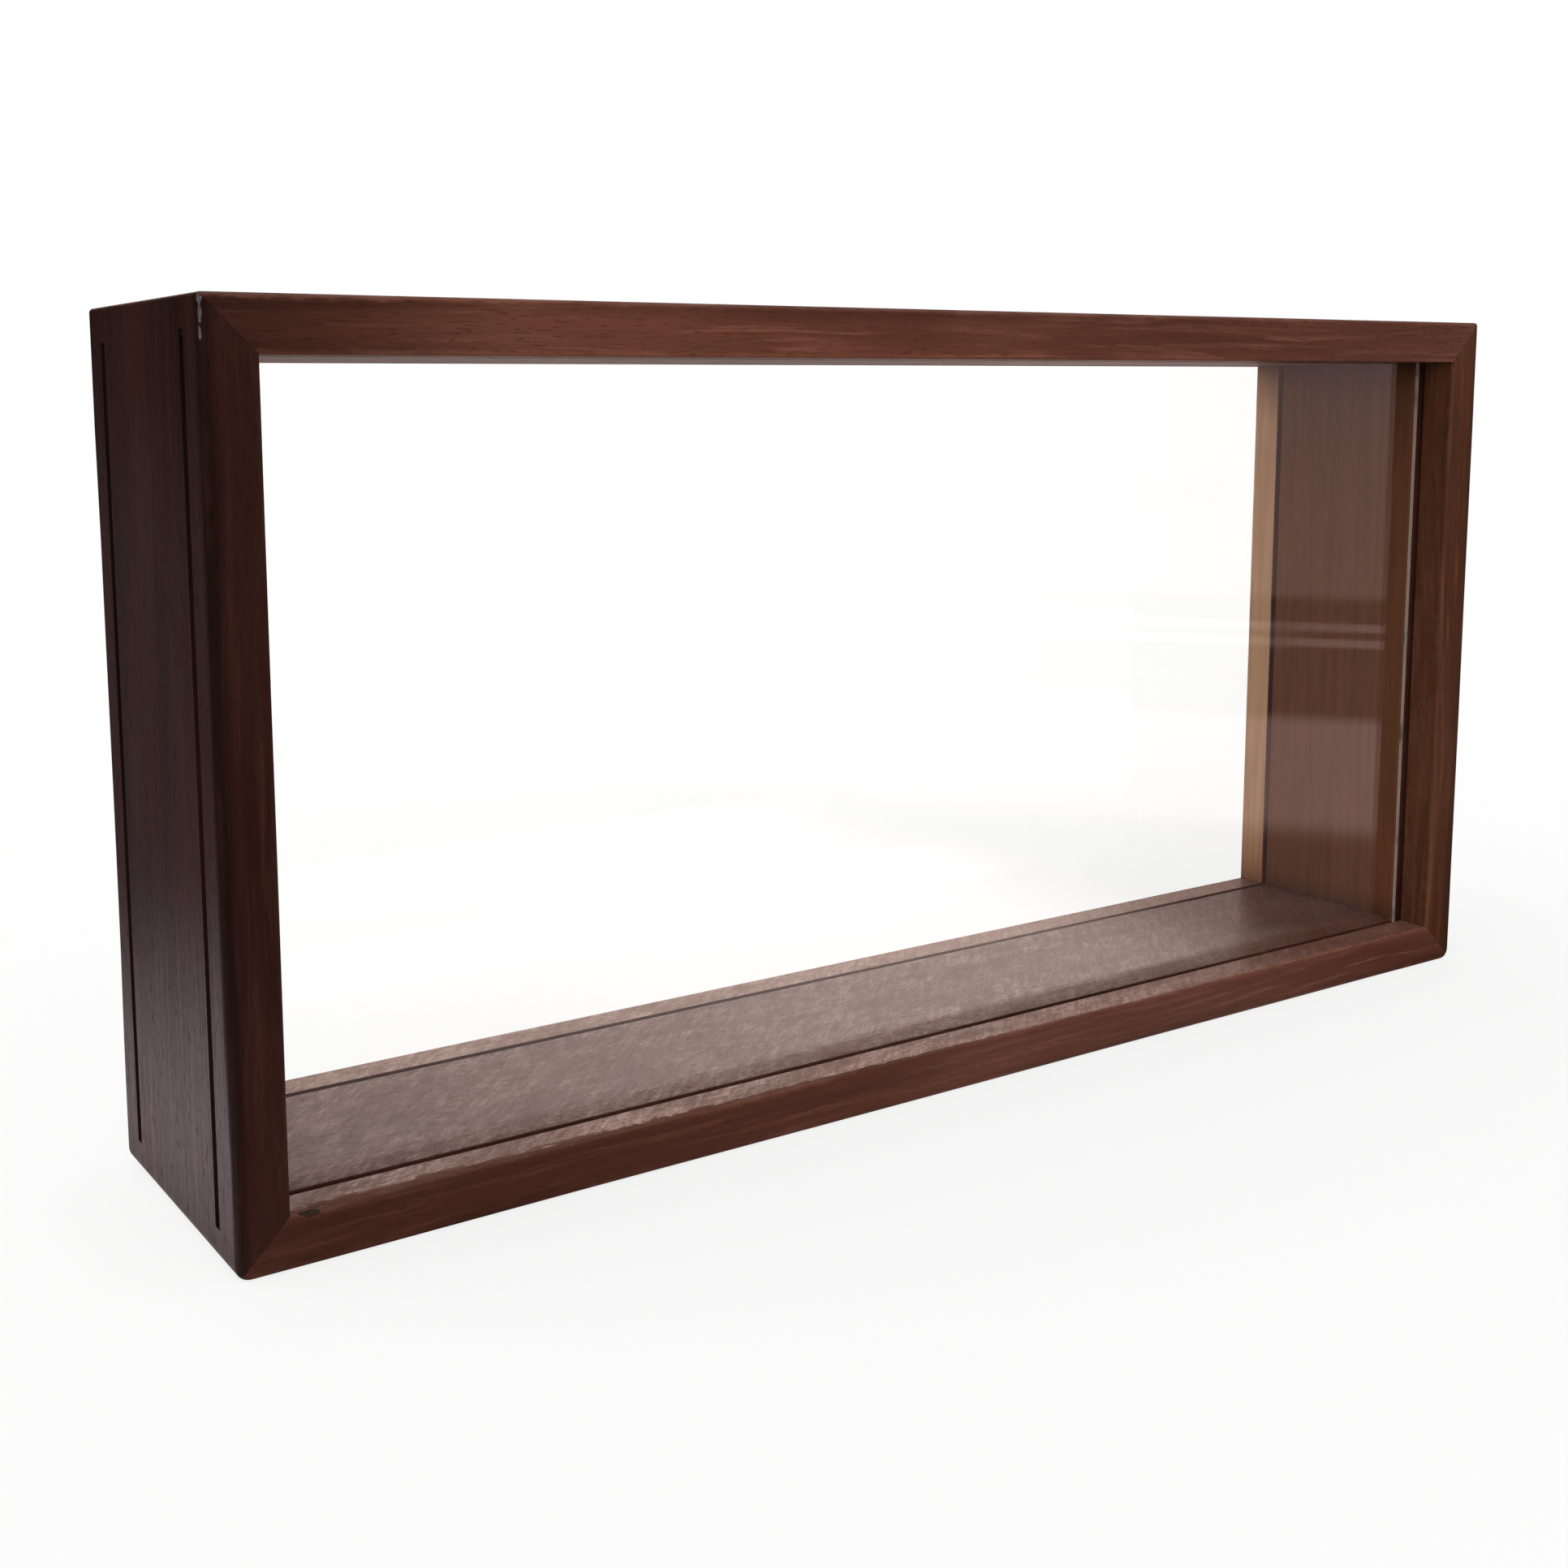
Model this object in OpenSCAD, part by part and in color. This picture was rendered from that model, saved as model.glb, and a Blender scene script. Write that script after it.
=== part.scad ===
// Glazed display box: four mitred hardwood boards and two glass panes that slide out through the left end.
// Millimetres. +X runs from the left end to the right end, +Y from front to rear, +Z up.
// The origin is under the middle of the box, on the surface that it stands on.

/* [Box] */
// Overall length, from the left end's outer face to the right end's
box_w = 600; // [360:1:900]
// Overall depth, from the boards' front faces to their rear faces
box_d = 114; // [90:1:180]
// Overall height
box_h = 300; // [180:1:450]
// Thickness of the four boards
board_t = 18; // [16:0.5:24]

/* [Glass] */
// Thickness of a pane
glass_t = 3; // [2:0.5:4]
// Width of a groove beyond the glass that runs in it
groove_play = 1; // [0.6:0.1:2]
// Depth of the grooves in the boards
groove_depth = 6; // [4:0.5:8]
// Middle of the front groove, behind the boards' front faces
front_inset = 16.5; // [10:0.5:24]
// Middle of the rear groove, in front of the boards' rear faces
rear_inset = 16; // [10:0.5:24]
// Gap between the top of a pane and the floor of the groove above it
glass_head_play = 1; // [0.5:0.1:2.5]
// Gap between the right end and the front pane, which stands a little way out
front_gap = 3.5; // [0.5:0.5:6]
// Depth of the front pane's left edge inside the mouth of its slot
front_recess = 2.5; // [1:0.5:8]
// Gap between the rear pane, which is right in, and the floor of the groove at its right edge
rear_gap = 1; // [0.5:0.5:3]
// Width of the bevel ground along each edge of a pane
glass_seam = 0.4; // [0.2:0.1:0.7]

/* [Corner splines] */
// Thickness of a spline
spline_t = 3; // [2:0.5:4]
// Width of a spline, across the mitre
spline_w = 12; // [8:0.5:13]
// Wood left between a spline's pocket and each groove
spline_margin = 10; // [4:0.5:16]
// Glue gap on each face of a spline
spline_gap = 0.1; // [0.05:0.05:0.3]
// Place of a spline along the mitre, as a share of the way from the outer corner to the inner one
spline_place = 0.53; // [0.5:0.01:0.56]

/* [Edges] */
// Radius of the outer long edges
edge_r = 2; // [0.5:0.1:3]
// Radius of the long edges round the two openings
lip_r = 0.8; // [0.3:0.1:1.5]
// Radius of the two lower corners, seen from the front
foot_r = 5; // [1:0.5:6]
// Radius of the two upper corners, seen from the front
crown_r = 1.5; // [0.5:0.5:6]

/* [Hidden] */
$fn = 96;
cut_over = 1;
groove_w = glass_t + groove_play;
groove_floor = board_t - groove_depth;
front_y = front_inset - box_d / 2;
rear_y = box_d / 2 - rear_inset;
pane_h = box_h - 2 * groove_floor - glass_head_play;
pane_w = box_w - board_t - front_gap - front_recess;
front_left = front_recess - box_w / 2;
rear_left = box_w / 2 - groove_floor - rear_gap - pane_w;
spline_mid_y = (front_y + rear_y) / 2;
spline_len = rear_y - front_y - groove_w - 2 * spline_margin;
spline_in = board_t * spline_place;
wood_red = [0.32, 0.15, 0.10];
wood_dark = [0.24, 0.12, 0.09];
wood_pale = [0.62, 0.45, 0.30];
glass_tint = [0.72, 0.86, 0.82, 0.35];

// Section of a board without its grooves: the outer face lies on the axis, the inner face at board_t.
module board_blank() {
    translate([-box_d / 2, edge_r])
        square([box_d, board_t - edge_r - lip_r]);
    translate([edge_r - box_d / 2, 0])
        square([box_d - 2 * edge_r, edge_r]);
    translate([lip_r - box_d / 2, board_t - lip_r])
        square([box_d - 2 * lip_r, lip_r]);
    for (side = [-1, 1]) {
        translate([side * (box_d / 2 - edge_r), edge_r])
            circle(r = edge_r);
        translate([side * (box_d / 2 - lip_r), board_t - lip_r])
            circle(r = lip_r);
    }
}

// Section of a board with its two grooves.
module board_section() {
    difference() {
        board_blank();
        for (y = [front_y, rear_y])
            translate([y - groove_w / 2, groove_floor])
                square([groove_w, groove_depth + cut_over]);
    }
}

// Waste outside the rounded tip of a board whose outer face is len long, at its +X end.
module tip_waste(len, r) {
    difference() {
        translate([len / 2 - r, -cut_over])
            square([r + cut_over, r + cut_over]);
        translate([len / 2 - r, r])
            circle(r = r);
    }
}

// Front view of a mitred board with rounded tips.
module board_outline(len, r_low_x, r_high_x) {
    difference() {
        polygon([
            [-len / 2, 0],
            [len / 2, 0],
            [len / 2 - board_t, board_t],
            [board_t - len / 2, board_t]
        ]);
        tip_waste(len, r_high_x);
        mirror([1, 0])
            tip_waste(len, r_low_x);
    }
}

// A spline, or with a gap its pocket, across the mitre at a board's +X end.
module mitre_key(len, gap) {
    translate([len / 2 - spline_in, spline_mid_y, spline_in])
        rotate([0, 45, 0])
            cube([spline_t + 2 * gap, spline_len + 2 * gap, spline_w + 2 * gap], center = true);
}

// A mitred and grooved board lying on its outer face, with its length along X.
module board(len, r_low_x, r_high_x) {
    difference() {
        intersection() {
            rotate([90, 0, 90])
                linear_extrude(height = len, center = true)
                    board_section();
            rotate([90, 0, 0])
                linear_extrude(height = box_d + 2 * cut_over, center = true)
                    board_outline(len, r_low_x, r_high_x);
        }
        mitre_key(len, spline_gap);
        mirror([1, 0, 0])
            mitre_key(len, spline_gap);
    }
}

// Stands a flat board up as the right end, with its +X tip at the top.
module as_right_end() {
    translate([box_w / 2, 0, box_h / 2])
        rotate([0, -90, 0])
            children();
}

// Stands a flat board up as the left end, with its +X tip at the bottom.
module as_left_end() {
    translate([-box_w / 2, 0, box_h / 2])
        rotate([0, 90, 0])
            children();
}

// Turns a flat board over to lie as the top rail, with its +X tip at the left.
module as_top_rail() {
    translate([0, 0, box_h])
        rotate([0, 180, 0])
            children();
}

module top_rail() {
    color(wood_red)
        as_top_rail()
            board(box_w, crown_r, crown_r);
}

module bottom_rail() {
    color(wood_red)
        board(box_w, foot_r, foot_r);
}

module right_end() {
    color(wood_dark)
        as_right_end()
            board(box_h, foot_r, crown_r);
}

// The slots reach from the floor of the lower grooves to that of the upper ones.
module left_end() {
    color(wood_dark)
        as_left_end()
            difference() {
                board(box_h, crown_r, foot_r);
                for (y = [front_y, rear_y])
                    translate([groove_floor - box_h / 2, y - groove_w / 2, -cut_over])
                        cube([box_h - 2 * groove_floor, groove_w, board_t + 2 * cut_over]);
            }
}

// Rectangle with its four corners bevelled: a pane's section, cut across a face of this length.
module seamed_section(len) {
    polygon([
        [glass_seam, -glass_t / 2],
        [len - glass_seam, -glass_t / 2],
        [len, glass_seam - glass_t / 2],
        [len, glass_t / 2 - glass_seam],
        [len - glass_seam, glass_t / 2],
        [glass_seam, glass_t / 2],
        [0, glass_t / 2 - glass_seam],
        [0, glass_seam - glass_t / 2]
    ]);
}

// A pane standing on the floor of its lower groove, with its left edge at left.
module pane(left, y) {
    color(glass_tint)
        translate([left, y, groove_floor])
            intersection() {
                linear_extrude(height = pane_h)
                    seamed_section(pane_w);
                rotate([0, -90, 0])
                    linear_extrude(height = 2 * pane_w, center = true)
                        seamed_section(pane_h);
            }
}

module front_glass() {
    pane(front_left, front_y);
}

module rear_glass() {
    pane(rear_left, rear_y);
}

module spline_bottom_right() {
    color(wood_pale)
        mitre_key(box_w, 0);
}

module spline_bottom_left() {
    color(wood_pale)
        mirror([1, 0, 0])
            mitre_key(box_w, 0);
}

module spline_top_left() {
    color(wood_pale)
        as_top_rail()
            mitre_key(box_w, 0);
}

module spline_top_right() {
    color(wood_pale)
        as_top_rail()
            mirror([1, 0, 0])
                mitre_key(box_w, 0);
}

top_rail();
bottom_rail();
left_end();
right_end();
front_glass();
rear_glass();
spline_top_left();
spline_top_right();
spline_bottom_left();
spline_bottom_right();
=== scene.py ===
"""Glazed display box: mitred hardwood boards, two sliding panes, and a pale studio to show them in."""
import math
import random

import bmesh
import bpy
from bpy.props import FloatProperty, FloatVectorProperty, PointerProperty
from bpy.types import Operator, Panel, PropertyGroup
from mathutils import Matrix, Vector, noise


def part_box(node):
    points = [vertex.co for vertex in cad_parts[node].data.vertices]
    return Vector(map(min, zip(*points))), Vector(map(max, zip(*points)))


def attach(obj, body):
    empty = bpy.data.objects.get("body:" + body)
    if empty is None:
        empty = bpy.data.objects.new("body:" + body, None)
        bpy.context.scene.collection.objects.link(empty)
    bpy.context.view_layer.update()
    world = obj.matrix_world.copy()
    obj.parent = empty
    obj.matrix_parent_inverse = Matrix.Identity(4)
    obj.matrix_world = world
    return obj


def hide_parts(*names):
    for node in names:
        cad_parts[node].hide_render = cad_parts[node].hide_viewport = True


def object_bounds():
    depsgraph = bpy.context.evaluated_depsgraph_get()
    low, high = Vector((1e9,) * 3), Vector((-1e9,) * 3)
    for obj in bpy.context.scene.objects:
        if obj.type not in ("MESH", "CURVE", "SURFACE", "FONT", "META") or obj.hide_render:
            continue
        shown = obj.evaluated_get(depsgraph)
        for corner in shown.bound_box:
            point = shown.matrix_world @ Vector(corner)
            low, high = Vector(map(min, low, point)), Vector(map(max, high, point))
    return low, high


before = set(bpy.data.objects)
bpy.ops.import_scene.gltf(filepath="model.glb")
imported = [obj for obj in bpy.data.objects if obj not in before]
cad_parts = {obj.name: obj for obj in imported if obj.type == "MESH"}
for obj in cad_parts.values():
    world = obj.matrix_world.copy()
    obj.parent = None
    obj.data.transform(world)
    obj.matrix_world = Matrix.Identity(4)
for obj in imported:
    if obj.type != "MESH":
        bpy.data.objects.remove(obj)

bl_info = {
    "name": "Glazed Display Box",
    "version": (1, 0, 0),
    "blender": (4, 5, 0),
    "location": "View3D > Sidebar > Display Box",
    "description": "Builds a mitred hardwood display box with two sliding panes",
    "category": "Add Mesh",
}

CAD_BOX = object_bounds()
MM = 0.001
BOX_LOW, BOX_HIGH = (Vector(corner) for corner in CAD_BOX)
BOX = BOX_HIGH - BOX_LOW
BOARD_LOW, BOARD_HIGH = (Vector(corner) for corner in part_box("bottom_rail"))
FRONT_LOW, FRONT_HIGH = (Vector(corner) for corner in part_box("front_glass"))
REAR_LOW, REAR_HIGH = (Vector(corner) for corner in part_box("rear_glass"))
SPLINE_LOW, SPLINE_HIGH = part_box("spline_bottom_right")
PANES = {"front": (FRONT_LOW, FRONT_HIGH), "rear": (REAR_LOW, REAR_HIGH)}
SPLINES = ("spline_top_left", "spline_top_right", "spline_bottom_left", "spline_bottom_right")
HALF_DEPTH = BOX.y / 2
BOARD_T = BOARD_HIGH.z - BOARD_LOW.z
FRONT_Y = (FRONT_LOW.y + FRONT_HIGH.y) / 2
REAR_Y = (REAR_LOW.y + REAR_HIGH.y) / 2

# Material slots of a board and of a pane
STAINED, SAWN, BARE = range(3)
POLISHED, GROUND = range(2)

# Section of a board, and its stations along the length
SPAN_STEPS = 8  # across the outer face
EDGE_STEPS = 6  # round an outer edge
LIP_STEPS = 4  # round a lip, and across each strip of the inner face
SUPPORT = 0.5 * MM  # from a rounding to the next points
STATION_STEP = 9 * MM
TIP_ZONE = 40 * MM  # the length at each end that is shaped to its mitre
TIP_STEPS = (0.25, 0.5, 0.7, 0.82, 0.88, 0.905, 0.93, 0.95, 0.97, 0.985, 0.994, 1.0)
EDGE_WANDER, LIP_WANDER = 0.22, 0.3  # how far hand work varies a radius
WANDER_PITCH, WANDER_LAYER = 9, 0.3  # per metre along a board, and the layer of noise
PLANING_PITCH = Vector((16, 30, 30))  # per metre along, across and through a board
WORN_LIP_END = 0.5  # where the wear on a lip runs out, from -1 at the low end to 1 at the high end
SHARP_ANGLE = math.radians(28)

# Splines, with their glue
SPLINE_T = 3 * MM
SPLINE_W = 12 * MM
SPLINE_GAP = 0.1 * MM
SPLINE_SEED = 31.0

# Knocks and dents
LUMPS = ((0.28, 1.7), (0.10, 5))  # height and pitch of a knock's large and small lumps
KNOCK_SEED, KNOCK_SEED_STEP = 1.3, 2.8
DENTS = 9
DENT_SPREAD = 0.46  # share of the length, each way from the middle
DENT_SIZES = (0.5, 1.1)  # millimetres
DENT_STRETCH = 2.2
DENT_SEED_PITCH = 40
LIP_DENTS = 22
LIP_DENT_SPREAD = 0.86  # share of the length
LIP_DENT_SIZES = (0.35, 0.85)  # millimetres
LIP_DENT_STRETCH = (3, 8)

# Panes
PANE_FACE_LEAST = 0.01  # square metres: a larger face is polished, and a smaller one is ground
PANE_BEVEL_STEPS, PANE_BEVEL_FULLNESS = 2, 0.6

# Finishes
ORIGIN = (0, 0, 0)
BLACK = (0, 0, 0, 1)
WHITE = (1, 1, 1, 1)
# pale flecks of the figure, partly painted sheen
FLECK_AND_SHEEN = (0.54, 0.352, 0.31)
# darkens a board towards its tips, and along its outer edges as painted shade
DARKENING_TINT = (0.2, 0.18, 0.18)
WORN_AND_HIGHLIT = 1.8  # lightness of worn edges, also painted highlight on the arrises
HAZE_LIGHTNESS = 1.7  # lightness of the painted haze behind the front groove
BACKLIGHT_REACH, HAZE_REACH = 52 * MM, 32 * MM  # from a tip to where the painted backlight and the painted haze reach full strength; nearer a tip they thin out as painted shade
BARE_SHARES = (0.6, 1.0, 1.25)  # dark, middle and light tone of bare wood
LACQUER_IOR = 1.5
POLISH_ROUGHNESS = 0.32
SAWN_SHINE = 0.12
GLASS_IOR = 1.52
GLASS_ROUGHEST = 0.05
GLASS_SHADE = (0.93, 0.94, 0.935, 1)
SMUDGE = (0.80, 0.80, 0.78)
GROUND_GRIT = (0.56, 0.45, 0.38)
GROUND_CHIP = (0.10, 0.08, 0.065)

# Studio
FLOOR_RADIUS, FLOOR_SEGMENTS = 12, 96
SHADOW_REACH = (0.25, 1.1)  # where the shadow on the floor starts to run out, and where it ends
SHADOW_WHITE = 0.78  # share of white in the floor near the box
FLOOR_LIGHT = (0.30, 0.29, 0.28, 1)  # the floor's colour where it only lights the box
SENSOR_WIDTH = 36
CLIP = (0.01, 100)
SOFT_BOXES = (  # name, place, target, width and height, and the property that holds the power
    ("front_soft_box", (0.2, -2.1, 0.75), (0, 0, 0.12), (1.6, 1.0), "front_power"),
    ("rear_soft_box", (0.15, 1.9, 0.7), (0, 0, 0.1), (1.2, 0.8), "rear_power"),
)
PANE_FACE_LOSS = 0.055  # share of the light that each face of a pane takes

# What gloss mirrors in the studio
FAR = 99.0
BACK_WAY = (0.488, 0.873, 0)
BACK_SPREAD = (0.84, 0.97)
BACK_LEVEL = 2.8
BACK_TINT = (1.0, 0.75, 0.66, 1)
BACK_LOW = 0.30  # share of the glow at the back that is left at the foot of the sky and on the floor
BACK_RISE = 0.16
BACK_FLOOR = (0.35, 1.0)
LEFT_GLOW = (-0.31, 0.02, 0)
LEFT_REACH, LEFT_LEVELS = 0.46, (1.12, 0.14)
LEFT_EDGE = (-0.33, -0.27)
LEFT_TINT = (1.0, 0.86, 0.94, 1)
ROOM_LEVEL = 0.46
ROOM_TINT = (1.0, 0.68, 0.64, 1)
APRON_TINT = (1.0, 0.83, 0.78, 1)
APRON_LENGTH, APRON_LENGTH_EASE = (-0.34, 0.22), 0.07
APRON_DEPTH, APRON_DEPTH_EASE = (-0.34, -0.055), 0.01
APRON_FULL, APRON_LEVELS = 0.08, (0.20, 1.2)
HIGH_LEAST = 0.02  # what a gloss mirrors where nothing glows
PANE_MIRROR = (0.8, -0.6, 0)
PANE_MIRROR_START = 0.25
MIRROR_BANDS = (  # start, end, easing and strength, along the way that the front pane mirrors
    (-0.05, FAR, 0.10, 0.16),
    (0.26, 0.68, 0.04, 0.56),
    (1.15, 1.22, 0.015, 0.46),
    (1.29, 1.37, 0.015, 0.42),
    (1.66, FAR, 0.08, 0.30),
)

# The amounts set the lighter edges (wear with painted highlight), the painted backlight behind the rear
# groove, the painted haze behind the front groove and the painted shade along the outer edges.
# The boards lie on their outer faces while they are made. turn and place then set them up.
# tips: radius of the low tip, then of the high one. hue, tone: tint and lightness of the stain.
# even: how far the dark grain is lost in the stain. gloss: roughness of the lacquer. shine: its strength.
# fleck_and_sheen, polish: mottled figure with painted sheen, and rubbed gloss, on the inner face. groove:
# lightness of the grooves, painted shade (painted light above 1).
# margin: plain strip in front of the figure. worn_lip: growth of the front lip's radius at the low end.
# fuller: growth of the outer edges' radius between the tips.
# wear, painted_light, pale, dust, edge_shade: amounts. darkening: reach and amount at the low tip, then
# at the high tip.
# chip: colour of the wood under a knock.
# knocks: place in millimetres from the low tip, the front and the outer face, half sizes, and slot.
PLAIN_BOARD = {
    "hue": (1, 1, 1), "even": 0.3, "shine": 0.12, "polish": 0.0, "wear": 0.15, "pale": 0.0, "dust": 0.0,
    "groove": 0.75, "margin": 0.0, "worn_lip": 1.0, "fuller": 1.0, "darkening": (0.01, 0.0, 0.01, 0.0),
    "knocks": (),
}
BOARDS = {
    "bottom_rail": {
        **PLAIN_BOARD, "length": BOX.x, "turn": 0, "place": (0, 0, 0), "tips": ("foot_r", "foot_r"),
        "seed": 3.1, "tone": 1.25, "even": 0.45, "gloss": 0.44, "polish": 0.5, "fleck_and_sheen": 0.85,
        "painted_light": 0.06, "dust": 0.12, "groove": 0.6, "margin": 4.2 * MM, "worn_lip": 3.4,
        "darkening": (0.54, 0.68, 0.02, 0.0), "edge_shade": 0.45, "chip": (0.046, 0.028, 0.018),
        "knocks": (
            ((20.5, -0.2, 18.3), (7.6, 1.3, 1.4), STAINED), ((25.0, 0.2, 17.4), (3.3, 1.5, 1.6), BARE),
            # the knock in the SAWN slot takes the dark groove wood: painted shade in the chip's hollow
            ((22.2, 0.3, 18.0), (2.0, 1.3, 1.1), BARE), ((26.6, 0.1, 15.2), (1.5, 0.9, 1.5), SAWN),
        ),
    },
    "top_rail": {
        **PLAIN_BOARD, "length": BOX.x, "turn": 180, "place": (0, 0, BOX.z),
        "tips": ("crown_r", "crown_r"), "seed": 7.7, "tone": 1.34, "even": 0.25, "gloss": 0.36,
        "fleck_and_sheen": 0.08, "wear": 0.2, "painted_light": 0.1, "dust": 0.1,
        "darkening": (0.30, 0.28, 0.14, 0.85), "edge_shade": 0.35, "chip": (0.30, 0.25, 0.23),
        "knocks": (((599.4, -0.2, -0.2), (1.3, 1.2, 1.2), BARE),),
    },
    "left_end": {
        **PLAIN_BOARD, "length": BOX.z, "turn": 90, "place": (-BOX.x / 2, 0, BOX.z / 2),
        "tips": ("crown_r", "foot_r"), "seed": 12.4, "hue": (1, 0.86, 0.84), "tone": 0.31, "gloss": 0.34,
        "shine": 0.14, "fleck_and_sheen": 0.04, "painted_light": 0.4, "fuller": 1.7, "edge_shade": 0.75,
        "chip": (0.115, 0.094, 0.10),
        "knocks": (
            ((1.6, 0.4, 0.4), (2.4, 1.0, 1.1), BARE), ((6.4, 0.5, 0.6), (2.9, 0.6, 0.7), BARE),
            ((11.8, 0.6, 0.5), (2.2, 0.6, 0.5), BARE), ((11.2, 16.4, 0.0), (1.3, 1.9, 0.8), SAWN),
        ),
    },
    "right_end": {
        **PLAIN_BOARD, "length": BOX.z, "turn": -90, "place": (BOX.x / 2, 0, BOX.z / 2),
        "tips": ("foot_r", "crown_r"), "seed": 19.6, "hue": (1, 1, 0.66), "tone": 0.82, "gloss": 0.42,
        # the right end takes strong painted backlight behind the rear groove, painted haze behind the
        # front one, and lighter grooves as painted light
        "fleck_and_sheen": 0.05, "painted_light": 0.95, "pale": 0.80, "groove": 1.8, "edge_shade": 0.55,
        "chip": (0.2, 0.13, 0.1),
    },
}


class DisplayBoxSizes(PropertyGroup):
    """Sizes of the boards and of the work on their edges."""

    board_t: FloatProperty(
        name="Board thickness", description="Thickness of the four boards",
        default=BOARD_T, unit="LENGTH")
    groove_w: FloatProperty(
        name="Groove width", description="Width of the grooves and slots that the panes run in",
        default=4 * MM, unit="LENGTH")
    groove_floor: FloatProperty(
        name="Groove floor", description="Wood left between a groove and the board's outer face",
        default=FRONT_LOW.z - BOX_LOW.z, unit="LENGTH")
    groove_easing: FloatProperty(
        name="Groove easing", description="Bevel along the mouth of each groove",
        default=0.25 * MM, unit="LENGTH")
    edge_r: FloatProperty(
        name="Outer edge radius", description="Radius of the outer long edges",
        default=2 * MM, unit="LENGTH")
    lip_r: FloatProperty(
        name="Lip radius", description="Radius of the long edges round the openings",
        default=0.9 * MM, unit="LENGTH")
    foot_r: FloatProperty(
        name="Lower corner radius", description="Radius of the two lower corners, seen from the front",
        default=5 * MM, unit="LENGTH")
    crown_r: FloatProperty(
        name="Upper corner radius", description="Radius of the two upper corners, seen from the front",
        default=1.5 * MM, unit="LENGTH")
    seam: FloatProperty(
        name="Mitre line", description="Depth of the hairline at each mitre",
        default=0.1 * MM, unit="LENGTH")
    hand_play: FloatProperty(
        name="Hand planing", description="Depth of the shallow hollows that planing and sanding leave",
        default=0.07 * MM, unit="LENGTH")
    glass_seam: FloatProperty(
        name="Glass bevel", description="Width of the bevel ground along each edge of a pane",
        default=0.4 * MM, unit="LENGTH")


class DisplayBoxWood(PropertyGroup):
    """Colours of the boards."""

    dark: FloatVectorProperty(
        name="Dark grain", description="Darkest ribbons of the stained wood",
        default=(0.042, 0.0125, 0.0075), subtype="COLOR", min=0, max=1)
    middle: FloatVectorProperty(
        name="Middle grain", description="Main tone of the stained wood",
        default=(0.100, 0.031, 0.0185), subtype="COLOR", min=0, max=1)
    light: FloatVectorProperty(
        name="Light grain", description="Lightest streaks of the stained wood",
        default=(0.190, 0.072, 0.046), subtype="COLOR", min=0, max=1)
    # bare is also the colour of the painted backlight behind the rear groove
    bare: FloatVectorProperty(
        name="Bare wood", description="Wood where the finish has worn off",
        default=(0.60, 0.355, 0.20), subtype="COLOR", min=0, max=1)
    dust: FloatVectorProperty(
        name="Dust", description="Dust that lies on upward faces",
        default=(0.42, 0.37, 0.34), subtype="COLOR", min=0, max=1)


class DisplayBoxGlass(PropertyGroup):
    """Colours of the panes."""

    clear: FloatVectorProperty(
        name="Clear glass", description="Tint of the polished faces",
        default=(0.997, 1.0, 0.998), subtype="COLOR", min=0, max=1)
    ground: FloatVectorProperty(
        name="Ground edge", description="Colour of the ground edges",
        default=(0.74, 0.58, 0.49), subtype="COLOR", min=0, max=1)


class DisplayBoxStage(PropertyGroup):
    """Camera, lamps and floor."""

    eye: FloatVectorProperty(
        name="Camera place", description="Where the camera stands",
        default=(-0.4740, -0.5797, 0.2680), subtype="TRANSLATION", unit="LENGTH")
    forward: FloatVectorProperty(
        name="Camera direction", description="The way the camera looks",
        default=(0.53183, 0.83671, -0.13066), subtype="DIRECTION")
    roll: FloatProperty(
        name="Camera roll", description="Turn of the camera about the way it looks",
        default=math.radians(0.46), subtype="ANGLE")
    lens: FloatProperty(
        name="Lens", description="Focal length in millimetres, on a sensor 36 wide",
        default=42.345, unit="CAMERA")
    shift: FloatVectorProperty(
        name="Lens shift", description="Sideways and upward shift of the picture",
        default=(0.0739, -0.0900), size=2)
    front_power: FloatProperty(
        name="Front lamp", description="Power of the soft box in front", default=13.0, unit="POWER")
    rear_power: FloatProperty(
        name="Rear lamp", description="Power of the soft box behind", default=12.0, unit="POWER")
    floor: FloatVectorProperty(
        name="Floor", description="Colour of the floor",
        default=(0.86, 0.86, 0.85), subtype="COLOR", min=0, max=1)


# Nodes

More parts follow.
